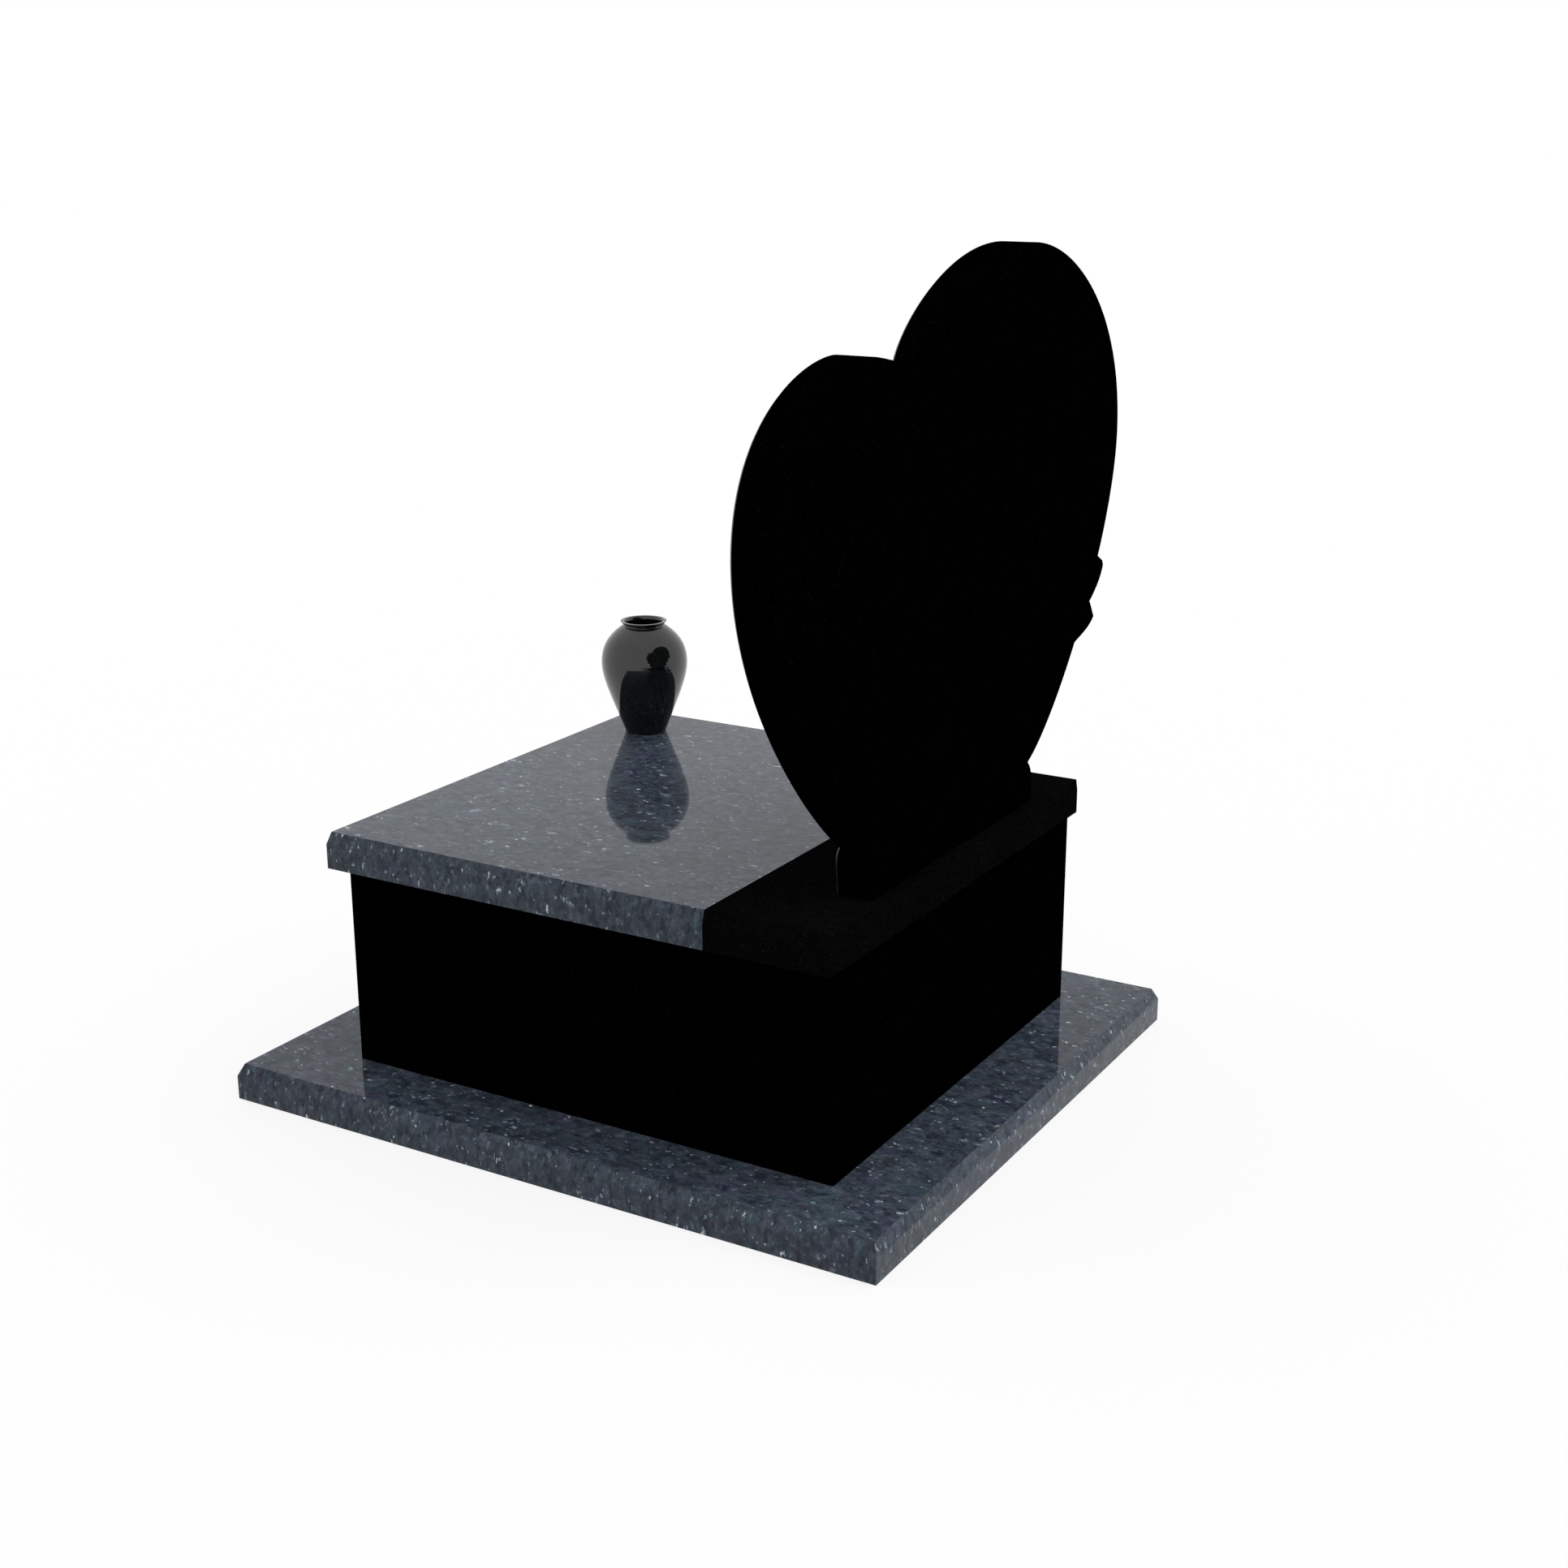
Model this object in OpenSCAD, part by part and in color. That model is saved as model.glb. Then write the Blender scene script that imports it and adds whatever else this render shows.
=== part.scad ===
// Heart-shaped grave monument: a bevelled base slab, a kerb of mitred panels,
// a bevelled cover slab, a plinth slab, a lopsided heart and a vase.
// Millimetres, +Z up. The origin is under the middle of the base slab.
// The heart's face looks towards -Y, over the cover slab and the vase.

/* [Base slab] */
// Width of the base slab, side to side
base_width = 1050; // [900:10:1400]
// Depth of the base slab, front to back
base_depth = 1170; // [1040:10:1600]
// Thickness of the base slab
base_thickness = 60; // [40:1:100]
// How far the base slab's bevel reaches in from the edge
base_bevel_width = 9.5; // [2:0.5:30]
// How far the base slab's bevel comes down the edge
base_bevel_drop = 20; // [2:1:35]

/* [Kerb] */
// Width of the kerb, over its side panels
kerb_width = 810; // [600:10:880]
// Depth of the kerb, over its end panels
kerb_depth = 876; // [650:2:980]
// Height of the kerb panels
kerb_height = 330; // [150:5:450]
// Thickness of the kerb panels
kerb_wall = 60; // [30:1:100]
// Strip of base slab left open behind the kerb
kerb_rear_margin = 134; // [20:1:180]

/* [Top slabs] */
// Thickness of the cover slab and of the plinth slab beside it
top_thickness = 60; // [40:1:100]
// How far the top slabs stand out past the kerb's sides
side_overhang = 24; // [0:1:50]
// How far the cover slab stands out past the kerb's front
front_overhang = 24; // [0:1:50]
// How far the plinth slab stands out past the kerb's back
rear_overhang = 6; // [0:1:50]
// How far the top slabs' bevel reaches in from the edge
top_bevel_width = 6.5; // [2:0.5:30]
// How far the top slabs' bevel comes down the edge
top_bevel_drop = 20; // [2:1:35]
// Depth of the plinth slab that carries the heart
plinth_depth = 207; // [120:1:300]

/* [Heart] */
// Thickness of the heart
heart_thickness = 60; // [40:1:110]
// Strip of plinth slab left open behind the heart
heart_rear_margin = 17; // [5:1:60]
// Height of the heart, from its foot to the top of the tall lobe
heart_height = 891; // [700:1:1200]
// Reach of the tall lobe, from the middle of the foot
tall_lobe_reach = 583; // [450:1:750]
// Height at which the tall lobe is widest
tall_lobe_level = 566; // [450:1:640]
// Distance of the tall lobe's crown from the middle of the foot
tall_crown_offset = 208; // [120:1:300]
// Reach of the low lobe, from the middle of the foot
low_lobe_reach = 558; // [450:1:750]
// Height at which the low lobe is widest
low_lobe_level = 530; // [420:1:600]
// How far the low lobe's crown lies below the tall one's
low_crown_drop = 122; // [60:1:200]
// Distance of the low lobe's crown from the middle of the foot
low_crown_offset = 297; // [200:1:380]
// Distance of the notch from the middle of the foot
notch_offset = 128; // [60:1:180]
// How far the notch lies below the tall lobe's crown
notch_drop = 164; // [130:1:300]
// Width of the foot
foot_width = 550; // [400:2:700]
// Reach of the neck on the low lobe's side, from the middle of the foot
low_neck_reach = 270; // [180:1:345]
// Reach of the neck on the tall lobe's side, from the middle of the foot
tall_neck_reach = 259; // [180:1:345]
// Height of the neck
neck_height = 70; // [40:1:120]

/* [Leaf tips] */
// How far the upper leaf tip stands out from the tall lobe's flank
upper_tip_proud = 31; // [5:1:45]
// Place of the upper leaf tip, as a share of the way down the flank
upper_tip_place = 0.35; // [0.30:0.01:0.38]
// How far the lower leaf tip stands out from the flank
lower_tip_proud = 46; // [8:1:60]
// Place of the lower leaf tip, as a share of the way down the flank
lower_tip_place = 0.47; // [0.45:0.01:0.54]

/* [Vase] */
// Height of the vase
vase_height = 205; // [150:1:280]
// Radius of the vase's foot
vase_foot_radius = 36; // [25:1:60]
// Radius of the vase's belly
vase_belly_radius = 77.5; // [60:0.5:105]
// Height at which the belly is widest
vase_belly_level = 129; // [90:1:145]
// Radius of the vase's neck
vase_neck_radius = 37.5; // [28:0.5:55]
// Height of the lip above the neck's narrowest place
vase_neck_drop = 8; // [6:1:20]
// Radius of the vase's lip
vase_lip_radius = 42; // [32:1:60]
// Thickness of the vase's wall
vase_wall = 5; // [3:0.5:8]
// Thickness of the vase's floor
vase_floor = 8; // [4:1:20]
// Distance of the vase's axis from the cover slab's front edge
vase_from_front = 105; // [100:1:300]
// Distance of the vase's axis from the cover slab's left edge
vase_from_side = 115; // [100:1:300]

/* [Hidden] */

// How many straight steps make one long, one middling and one short stretch of
// a curve, and one turn of the vase.
long_steps = 22;
middle_steps = 14;
short_steps = 8;
round_steps = 96;
// Cutting and bevelling prisms run this far past what they shape.
past = 10;

// Levels, from the ground up.
kerb_top = base_thickness + kerb_height;
top_level = kerb_top + top_thickness;

// Places along the depth, from the back to the front.
kerb_rear_y = base_depth / 2 - kerb_rear_margin;
kerb_front_y = kerb_rear_y - kerb_depth;
plinth_rear_y = kerb_rear_y + rear_overhang;
seam_y = plinth_rear_y - plinth_depth;
cover_front_y = kerb_front_y - front_overhang;
heart_rear_y = plinth_rear_y - heart_rear_margin;
kerb_middle_y = (kerb_front_y + kerb_rear_y) / 2;

// Width of both top slabs.
top_width = kerb_width + 2 * side_overhang;

// Stone and glaze colours.
black_granite = [0.05, 0.05, 0.055];
blue_granite = [0.26, 0.28, 0.32];
black_glaze = [0.10, 0.10, 0.11];

// ---- Curves ----

// Unit vector at an angle from +X.
function heading(angle) = [cos(angle), sin(angle)];

// A point a share t of the way along a smooth stretch between two points. The
// stretch leaves and arrives along two headings, and each pull is a share of
// the distance between the points.
function stretch_point(from, leave, leave_pull, to, arrive, arrive_pull, t) =
    let (
        span = norm(to - from),
        a = from + leave_pull * span * heading(leave),
        b = to - arrive_pull * span * heading(arrive),
        s = 1 - t
    )
    s * s * s * from + 3 * s * s * t * a + 3 * s * t * t * b + t * t * t * to;

// The points of a stretch, without its last one.
function stretch(from, leave, leave_pull, to, arrive, arrive_pull, steps = long_steps) =
    [for (i = [0 : steps - 1])
        stretch_point(from, leave, leave_pull, to, arrive, arrive_pull, i / steps)];

// ---- Slabs ----

// A slab from y = 0 back to y = depth, bevelled along its sides, and along
// its front and back where asked. It is what two bevelled bars share.
module bevelled_slab(width, depth, thickness, bevel_width, bevel_drop,
                     bevel_front = true, bevel_rear = true) {
    shoulder = thickness - bevel_drop;
    front_in = bevel_front ? bevel_width : 0;
    rear_in = bevel_rear ? bevel_width : 0;
    intersection() {
        // Bar along Y: bevels the two sides.
        translate([0, depth + past, 0])
            rotate([90, 0, 0])
                linear_extrude(depth + 2 * past)
                    polygon([
                        [-width / 2, 0],
                        [width / 2, 0],
                        [width / 2, shoulder],
                        [width / 2 - bevel_width, thickness],
                        [-width / 2 + bevel_width, thickness],
                        [-width / 2, shoulder]
                    ]);
        // Bar along X: bevels the front and the back.
        translate([-width / 2 - past, 0, 0])
            rotate([90, 0, 90])
                linear_extrude(width + 2 * past)
                    polygon(concat(
                        [[0, 0], [depth, 0]],
                        bevel_rear ? [[depth, shoulder], [depth - rear_in, thickness]]
                                   : [[depth, thickness]],
                        bevel_front ? [[front_in, thickness], [0, shoulder]]
                                    : [[0, thickness]]
                    ));
    }
}

module base_slab() {
    color(blue_granite)
        translate([0, -base_depth / 2, 0])
            bevelled_slab(base_width, base_depth, base_thickness,
                          base_bevel_width, base_bevel_drop);
}

module cover_slab() {
    color(blue_granite)
        translate([0, cover_front_y, kerb_top])
            bevelled_slab(top_width, seam_y - cover_front_y, top_thickness,
                          top_bevel_width, top_bevel_drop, bevel_rear = false);
}

module plinth_slab() {
    color(black_granite)
        translate([0, seam_y, kerb_top])
            bevelled_slab(top_width, plinth_depth, top_thickness,
                          top_bevel_width, top_bevel_drop,
                          bevel_front = false, bevel_rear = false);
}

// ---- Kerb ----

// One upright panel, its outer face on y = 0 and its ends mitred inwards.
module mitred_panel(length) {
    linear_extrude(kerb_height)
        polygon([
            [-length / 2, 0],
            [length / 2, 0],
            [length / 2 - kerb_wall, kerb_wall],
            [-length / 2 + kerb_wall, kerb_wall]
        ]);
}

module kerb_front() {
    color(black_granite)
        translate([0, kerb_front_y, base_thickness])
            mitred_panel(kerb_width);
}

module kerb_rear() {
    color(black_granite)
        translate([0, kerb_rear_y, base_thickness])
            rotate([0, 0, 180])
                mitred_panel(kerb_width);
}

module kerb_right() {
    color(black_granite)
        translate([kerb_width / 2, kerb_middle_y, base_thickness])
            rotate([0, 0, 90])
                mitred_panel(kerb_depth);
}

module kerb_left() {
    color(black_granite)
        translate([-kerb_width / 2, kerb_middle_y, base_thickness])
            rotate([0, 0, -90])
                mitred_panel(kerb_depth);
}

// ---- Heart ----

// Turning points of the heart's outline, in the plane of its face, with the
// foot on y = 0. The low lobe is on the right, the tall one on the left.
right_foot = [foot_width / 2, 0];
right_neck = [low_neck_reach, neck_height];
low_side = [low_lobe_reach, low_lobe_level];
low_crown = [low_crown_offset, heart_height - low_crown_drop];
notch = [notch_offset, heart_height - notch_drop];
tall_crown = [-tall_crown_offset, heart_height];
tall_side = [-tall_lobe_reach, tall_lobe_level];
left_neck = [-tall_neck_reach, neck_height];
left_foot = [-foot_width / 2, 0];

// A point a share t of the way down the tall lobe's flank, from the lobe's
// widest place to the neck.
function flank(t) = stretch_point(tall_side, 270, 0.30, left_neck, 335, 0.206, t);

// Headings and pulls that shape the stretches between the turning points.
heart_outline = concat(
    stretch(right_foot, 90, 0.55, right_neck, 140, 0.30, short_steps),
    stretch(right_neck, 34, 0.13, low_side, 90, 0.385),
    stretch(low_side, 90, 0.52, low_crown, 180, 0.236),
    stretch(low_crown, 180, 0.17, notch, 215, 0.155, short_steps),
    stretch(notch, 91, 0.135, tall_crown, 180, 0.502),
    stretch(tall_crown, 180, 0.342, tall_side, 270, 0.403),
    [for (i = [0 : long_steps - 1]) flank(i / long_steps)],
    stretch(left_neck, 220, 0.30, left_foot, 270, 0.55, short_steps),
    [left_foot]
);

// Unit vector that points straight out of the flank there.
function flank_out(t) =
    let (
        nudge = 0.01,
        along = flank(t + nudge) - flank(t - nudge)
    )
    [along[1], -along[0]] / norm(along);

// A point that stands out from the flank.
function proud_of_flank(t, proud) = flank(t) + proud * flank_out(t);

// How deep the leaf tips are rooted in the heart.
leaf_root = 12;

// A leaf tip of the carved spray, standing out past the flank. Its upper edge
// runs from a root in the stone, back before the tip's place, out over a crest
// that stands a share of the tip's height proud. Its underside runs from the
// tip down to the heel. back and length are shares of the flank.
module leaf_tip(place, proud, back, crest_share, length, leave, arrive) {
    tip = proud_of_flank(place, proud);
    heel = proud_of_flank(place + length, 0);
    underside_pull = 0.32;
    polygon(concat(
        [proud_of_flank(place - back, -leaf_root),
         proud_of_flank(place - back, crest_share * proud)],
        stretch(tip, leave, underside_pull, heel, arrive, underside_pull, short_steps),
        [heel, proud_of_flank(place + length, -leaf_root)]
    ));
}

module heart_headstone() {
    color(black_granite)
        translate([0, heart_rear_y, top_level])
            rotate([90, 0, 0])
                linear_extrude(heart_thickness)
                    union() {
                        polygon(heart_outline);
                        leaf_tip(upper_tip_place, upper_tip_proud, back = 0.008,
                                 crest_share = 0.75, length = 0.14, leave = 292, arrive = 330);
                        leaf_tip(lower_tip_place, lower_tip_proud, back = 0.018,
                                 crest_share = 0.33, length = 0.10, leave = 318, arrive = 343);
                    }
}

// ---- Vase ----

vase_lip = [vase_lip_radius, vase_height];
vase_neck = [vase_neck_radius, vase_height - vase_neck_drop];
vase_belly = [vase_belly_radius, vase_belly_level];

// Outside of the vase, from the edge of its foot up to the lip.
vase_outside = concat(
    stretch([vase_foot_radius, 0], 69, 0.50, vase_belly, 90, 0.22, middle_steps),
    stretch(vase_belly, 90, 0.45, vase_neck, 145, 0.32, middle_steps),
    stretch(vase_neck, 90, 0.40, vase_lip, 50, 0.30, short_steps),
    [vase_lip]
);

// The same line one wall further in: each point moves square to its neighbours.
function inward(line, i, wall) =
    let (
        last = len(line) - 1,
        along = line[min(i + 1, last)] - line[max(i - 1, 0)],
        out = [along[1], -along[0]] / norm(along)
    )
    line[i] - wall * out;

// The corner between the vase's inside wall and its floor is eased this much.
floor_ease = 2;

// Inside of the vase, from the lip down to just above its floor.
vase_inside = [for (i = [len(vase_outside) - 1 : -1 : 0])
    let (p = inward(vase_outside, i, vase_wall))
    if (p[1] > vase_floor + floor_ease) [p[0], min(p[1], vase_height)]];
vase_floor_radius = vase_inside[len(vase_inside) - 1][0] - floor_ease;

module vase() {
    color(black_glaze)
        translate([-top_width / 2 + vase_from_side, cover_front_y + vase_from_front, top_level])
            rotate_extrude($fn = round_steps)
                polygon(concat(
                    [[0, 0]],
                    vase_outside,
                    vase_inside,
                    [[vase_floor_radius, vase_floor], [0, vase_floor]]
                ));
}

base_slab();
kerb_left();
kerb_right();
kerb_front();
kerb_rear();
cover_slab();
plinth_slab();
heart_headstone();
vase();
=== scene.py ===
# %% [markdown]
# # A heart headstone on a slab-topped kerb
#
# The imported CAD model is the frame: eight stones and a vase, already the right
# size and in the right place. This lesson gives them their finishes, rounds the
# vase, puts a honed chamfer and a carved rose on the heart, and lights the lot.
# Everything is in metres, with +Z up and the carved face towards -Y.

# %% Load the frame
import bpy
import bmesh
import math
from mathutils import Vector, Matrix
from mathutils.geometry import delaunay_2d_cdt


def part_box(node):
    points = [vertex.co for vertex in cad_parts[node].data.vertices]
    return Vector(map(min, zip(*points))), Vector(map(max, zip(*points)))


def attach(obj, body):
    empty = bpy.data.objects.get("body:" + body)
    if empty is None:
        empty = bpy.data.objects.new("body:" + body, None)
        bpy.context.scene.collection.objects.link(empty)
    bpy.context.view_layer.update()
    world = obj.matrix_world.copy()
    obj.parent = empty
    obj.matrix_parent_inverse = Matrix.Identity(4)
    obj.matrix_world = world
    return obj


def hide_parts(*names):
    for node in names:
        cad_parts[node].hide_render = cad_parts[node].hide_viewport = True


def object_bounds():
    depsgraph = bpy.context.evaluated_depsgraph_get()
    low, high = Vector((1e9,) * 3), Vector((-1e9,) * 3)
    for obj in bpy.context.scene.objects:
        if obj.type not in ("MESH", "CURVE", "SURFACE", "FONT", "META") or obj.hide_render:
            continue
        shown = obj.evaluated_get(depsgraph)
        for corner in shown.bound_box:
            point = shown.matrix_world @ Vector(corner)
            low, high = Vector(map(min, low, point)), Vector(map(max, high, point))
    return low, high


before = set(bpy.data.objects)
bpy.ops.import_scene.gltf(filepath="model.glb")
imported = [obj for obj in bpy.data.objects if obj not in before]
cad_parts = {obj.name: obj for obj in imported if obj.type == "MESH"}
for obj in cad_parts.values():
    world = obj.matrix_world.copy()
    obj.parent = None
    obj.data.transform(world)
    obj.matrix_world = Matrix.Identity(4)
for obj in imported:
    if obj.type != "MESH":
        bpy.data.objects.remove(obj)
cad_low, cad_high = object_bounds()
print("CAD box", [round(v, 3) for v in cad_low], [round(v, 3) for v in cad_high])

MM = 0.001


# %% [markdown]
# ## Colours and nodes
#
# Stone samples are named by sRGB hex values, but shaders work in linear light,
# so one function does the change. A second one adds a node with its settings
# and links in one line, which keeps each material readable from top to bottom.

# %% Colour and node helpers
def linear(hex_code):
    """An sRGB hex colour as the linear RGBA that shaders want."""
    out = []
    for i in (1, 3, 5):
        v = int(hex_code[i:i + 2], 16) / 255
        out.append(v / 12.92 if v <= 0.04045 else ((v + 0.055) / 1.055) ** 2.4)
    return (*out, 1.0)


def add_node(tree, kind, settings=None, **inputs):
    """A node with its settings, and each input set to a value or linked to a socket."""
    node = tree.nodes.new(kind)
    for name, value in (settings or {}).items():
        setattr(node, name, value)
    for name, value in inputs.items():
        key = int(name[1:]) if name[0] == "i" and name[1:].isdigit() else name.replace("_", " ")
        if isinstance(value, bpy.types.NodeSocket):
            tree.links.new(value, node.inputs[key])
        else:
            node.inputs[key].default_value = value
    return node


def ramp(tree, fac, stops, interpolation="LINEAR"):
    """A colour ramp from (position, hex) stops."""
    node = add_node(tree, "ShaderNodeValToRGB", Fac=fac)
    band = node.color_ramp
    band.interpolation = interpolation
    while len(band.elements) < len(stops):
        band.elements.new(0.5)
    for element, (position, colour) in zip(band.elements, stops):
        element.position = position
        element.color = linear(colour)
    return node.outputs["Color"]


def new_material(name):
    """An empty node material with its Principled shader linked to the output."""
    material = bpy.data.materials.new(name)
    material.use_nodes = True
    tree = material.node_tree
    tree.nodes.clear()
    shader = add_node(tree, "ShaderNodeBsdfPrincipled")
    add_node(tree, "ShaderNodeOutputMaterial", Surface=shader.outputs["BSDF"])
    return material, tree, shader


# %% [markdown]
# ## Blue larvikite, sawn and polished
#
# The base and cover slabs are larvikite, sold as a blue granite. It is a mass
# of feldspar crystals about a centimetre long, dark slate in colour, and some
# of them flash pale blue, teal or violet where the light catches their layers.
# Here those flashes are painted into the colour as highlights.
# A flat picture of the stone would repeat and would smear round the edges, so
# the crystals are grown in 3-D instead: cells of Voronoi patterns, read in
# Object coordinates, keep their size on every slab and run on round each corner.
# Only their lie differs: upright in the edges, lengthwise in the polished tops.

# %% Sizes and lie of the crystals
CRYSTAL = 11.0 * MM
WISP = 26.0 * MM
GLINT = 5.0 * MM
UPRIGHT = (1.0, 1.0, 0.66)
LYING = (0.9, 0.56, 1.0)
LEVEL_FACE = 0.9   # A face whose normal rises more steeply than this is a top.
LARVIKITE_IOR = 1.22
print("larvikite: crystals", round(CRYSTAL / MM), "mm long, glints", round(GLINT / MM), "mm")


def crystal_place(tree):
    """Object coordinates, squeezed across the crystals' lie and bent, so no cell is a block."""
    where = add_node(tree, "ShaderNodeTexCoord").outputs
    upright = add_node(tree, "ShaderNodeMapping", Vector=where["Object"], Scale=UPRIGHT)
    lying = add_node(tree, "ShaderNodeMapping", Vector=where["Object"], Scale=LYING)
    facing = add_node(tree, "ShaderNodeSeparateXYZ", Vector=where["Normal"])
    top = add_node(tree, "ShaderNodeMath", {"operation": "GREATER_THAN"},
                   i0=facing.outputs["Z"], i1=LEVEL_FACE)
    bed = add_node(tree, "ShaderNodeMix", {"data_type": "VECTOR"}, i0=top.outputs[0],
                   i4=upright.outputs[0], i5=lying.outputs[0]).outputs[1]
    bend = add_node(tree, "ShaderNodeTexNoise", Vector=bed, Scale=1.5 / CRYSTAL, Detail=2.0,
                    Roughness=0.6)
    centred = add_node(tree, "ShaderNodeVectorMath", {"operation": "SUBTRACT"},
                       i0=bend.outputs["Color"], i1=(0.5, 0.5, 0.5))
    push = add_node(tree, "ShaderNodeVectorMath", {"operation": "SCALE"},
                    i0=centred.outputs[0], Scale=1.1 * CRYSTAL)
    return add_node(tree, "ShaderNodeVectorMath", {"operation": "ADD"},
                    i0=bed, i1=push.outputs[0]).outputs[0]


# %% [markdown]
# Most of the stone is its ground mass: crystals that differ only a little in
# tone. Thin pale wisps cross them, where cleavage planes run out at the polished
# face, and a faint teal or violet cast lies over some groups of crystals.

# %% The ground mass
def ground_mass(tree, place, own, cloud):
    both = add_node(tree, "ShaderNodeMath", {"operation": "MULTIPLY_ADD"},
                    i0=own.outputs["Red"], i1=0.30, i2=cloud.outputs["Fac"])
    ground = ramp(tree, both.outputs[0], [
        (0.42, "#363b45"), (0.56, "#484e59"), (0.70, "#515963"), (0.84, "#5c646f"),
        (1.0, "#7a838d")])
    sheets = add_node(tree, "ShaderNodeTexNoise", Vector=place, Scale=1 / WISP, Detail=3.0,
                      Roughness=0.6, Distortion=0.9)
    off_line = add_node(tree, "ShaderNodeMath", {"operation": "PINGPONG"},
                        i0=sheets.outputs["Fac"], i1=0.045)
    line = add_node(tree, "ShaderNodeMapRange", Value=off_line.outputs[0],
                    From_Min=0.012, From_Max=0.0, To_Max=0.55)
    broken = add_node(tree, "ShaderNodeMapRange", Value=cloud.outputs["Fac"],
                      From_Min=0.50, From_Max=0.62)
    wisp = add_node(tree, "ShaderNodeMath", {"operation": "MULTIPLY"},
                    i0=line.outputs[0], i1=broken.outputs[0])
    wispy = add_node(tree, "ShaderNodeMix", {"data_type": "RGBA"},
                     i0=wisp.outputs[0], i6=ground, i7=linear("#8d97a3"))
    groups = add_node(tree, "ShaderNodeTexVoronoi", Vector=place, Scale=0.5 / CRYSTAL)
    group = add_node(tree, "ShaderNodeSeparateColor", Color=groups.outputs["Color"])
    cast = ramp(tree, group.outputs["Red"], [
        (0.0, "#7f8388"), (0.45, "#7b8590"), (0.62, "#698b8f"), (0.78, "#7f8689"),
        (0.88, "#877d9e"), (1.0, "#808488")])
    tinted = add_node(tree, "ShaderNodeMix", {"data_type": "RGBA", "blend_type": "OVERLAY"},
                      i0=0.55, i6=wispy.outputs[2], i7=cast)
    return tinted.outputs[2]


# %% [markdown]
# The glints are what larvikite is bought for. Here they are painted highlights,
# the same from every side: small slivers here and there, and more rarely most
# of a crystal, broken up by its own clefts.

# %% The glints
def painted_glints(tree, place, crystals, own):
    """How strongly the painted glints show at each place, from 0 to 1."""
    tall = add_node(tree, "ShaderNodeMapping", Vector=place, Scale=(1.0, 1.0, 0.75)).outputs[0]
    slivers = add_node(tree, "ShaderNodeTexVoronoi", Vector=tall, Scale=1 / GLINT)
    sliver = add_node(tree, "ShaderNodeSeparateColor", Color=slivers.outputs["Color"])
    glow = add_node(tree, "ShaderNodeMapRange", Value=slivers.outputs["Distance"],
                    From_Min=0.46, From_Max=0.24)
    chosen = add_node(tree, "ShaderNodeMapRange", Value=sliver.outputs["Green"],
                      From_Min=0.86, From_Max=1.0, To_Max=0.95)
    small = add_node(tree, "ShaderNodeMath", {"operation": "MULTIPLY"},
                     i0=glow.outputs[0], i1=chosen.outputs[0])
    host = add_node(tree, "ShaderNodeMapRange", Value=own.outputs["Green"],
                    From_Min=0.10, From_Max=0.60, To_Min=0.15)
    small = add_node(tree, "ShaderNodeMath", {"operation": "MULTIPLY"},
                     i0=small.outputs[0], i1=host.outputs[0])
    glow = add_node(tree, "ShaderNodeMapRange", Value=crystals.outputs["Distance"],
                    From_Min=0.42, From_Max=0.20)
    chosen = add_node(tree, "ShaderNodeMapRange", Value=own.outputs["Green"],
                      From_Min=0.905, From_Max=0.98)
    large = add_node(tree, "ShaderNodeMath", {"operation": "MULTIPLY"},
                     i0=glow.outputs[0], i1=chosen.outputs[0])
    cleft = add_node(tree, "ShaderNodeMapRange", Value=slivers.outputs["Distance"],
                     From_Min=0.52, From_Max=0.30, To_Min=0.15)
    large = add_node(tree, "ShaderNodeMath", {"operation": "MULTIPLY"},
                     i0=large.outputs[0], i1=cleft.outputs[0])
    return add_node(tree, "ShaderNodeMath", {"operation": "MAXIMUM"},
                    i0=small.outputs[0], i1=large.outputs[0]).outputs[0]


# %% [markdown]
# The ground mass and the painted glints are mixed into the base colour, each
# crystal's painted highlight in one hue of its own. Last comes dark mica between
# the crystals, which takes a slightly poorer polish. Feldspar's IOR is about 1.5.
# It starts there and is brought down until the slabs mirror as little at a low
# angle as the real ones do.

# %% Put the larvikite together
def larvikite():
    material, tree, shader = new_material("larvikite_polished")
    place = crystal_place(tree)
    crystals = add_node(tree, "ShaderNodeTexVoronoi", Vector=place, Scale=1 / CRYSTAL)
    own = add_node(tree, "ShaderNodeSeparateColor", Color=crystals.outputs["Color"])
    cloud = add_node(tree, "ShaderNodeTexNoise", Vector=place, Scale=1.2 / CRYSTAL, Detail=4.0,
                     Roughness=0.62)
    # The colours of the painted glints: near white, pale blue, teal and violet.
    painted_glint_hue = ramp(tree, own.outputs["Blue"], [
        (0.0, "#e6eef2"), (0.35, "#a9d0d8"), (0.60, "#a6bfdc"), (0.80, "#bdbce2"),
        (1.0, "#f6fafc")])
    stone = add_node(tree, "ShaderNodeMix", {"data_type": "RGBA"},
                     i0=painted_glints(tree, place, crystals, own),
                     i6=ground_mass(tree, place, own, cloud), i7=painted_glint_hue)
    mica = add_node(tree, "ShaderNodeTexVoronoi", Vector=place, Scale=2.0 / CRYSTAL)
    rare = add_node(tree, "ShaderNodeSeparateColor", Color=mica.outputs["Color"])
    dark = add_node(tree, "ShaderNodeMapRange", Value=rare.outputs["Red"],
                    From_Min=0.82, From_Max=0.96, To_Max=0.40)
    stone = add_node(tree, "ShaderNodeMix", {"data_type": "RGBA"},
                     i0=dark.outputs[0], i6=stone.outputs[2], i7=linear("#171a21"))
    gloss = add_node(tree, "ShaderNodeMapRange", Value=rare.outputs["Red"],
                     From_Min=0.82, From_Max=0.96, To_Min=0.035, To_Max=0.09)
    tree.links.new(stone.outputs[2], shader.inputs["Base Color"])
    tree.links.new(gloss.outputs[0], shader.inputs["Roughness"])
    shader.inputs["IOR"].default_value = LARVIKITE_IOR
    return material


blue_stone = larvikite()
for name in ("base_slab", "cover_slab"):
    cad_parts[name].material_slots[0].material = blue_stone
print("larvikite:", len(blue_stone.node_tree.nodes), "nodes")


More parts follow.
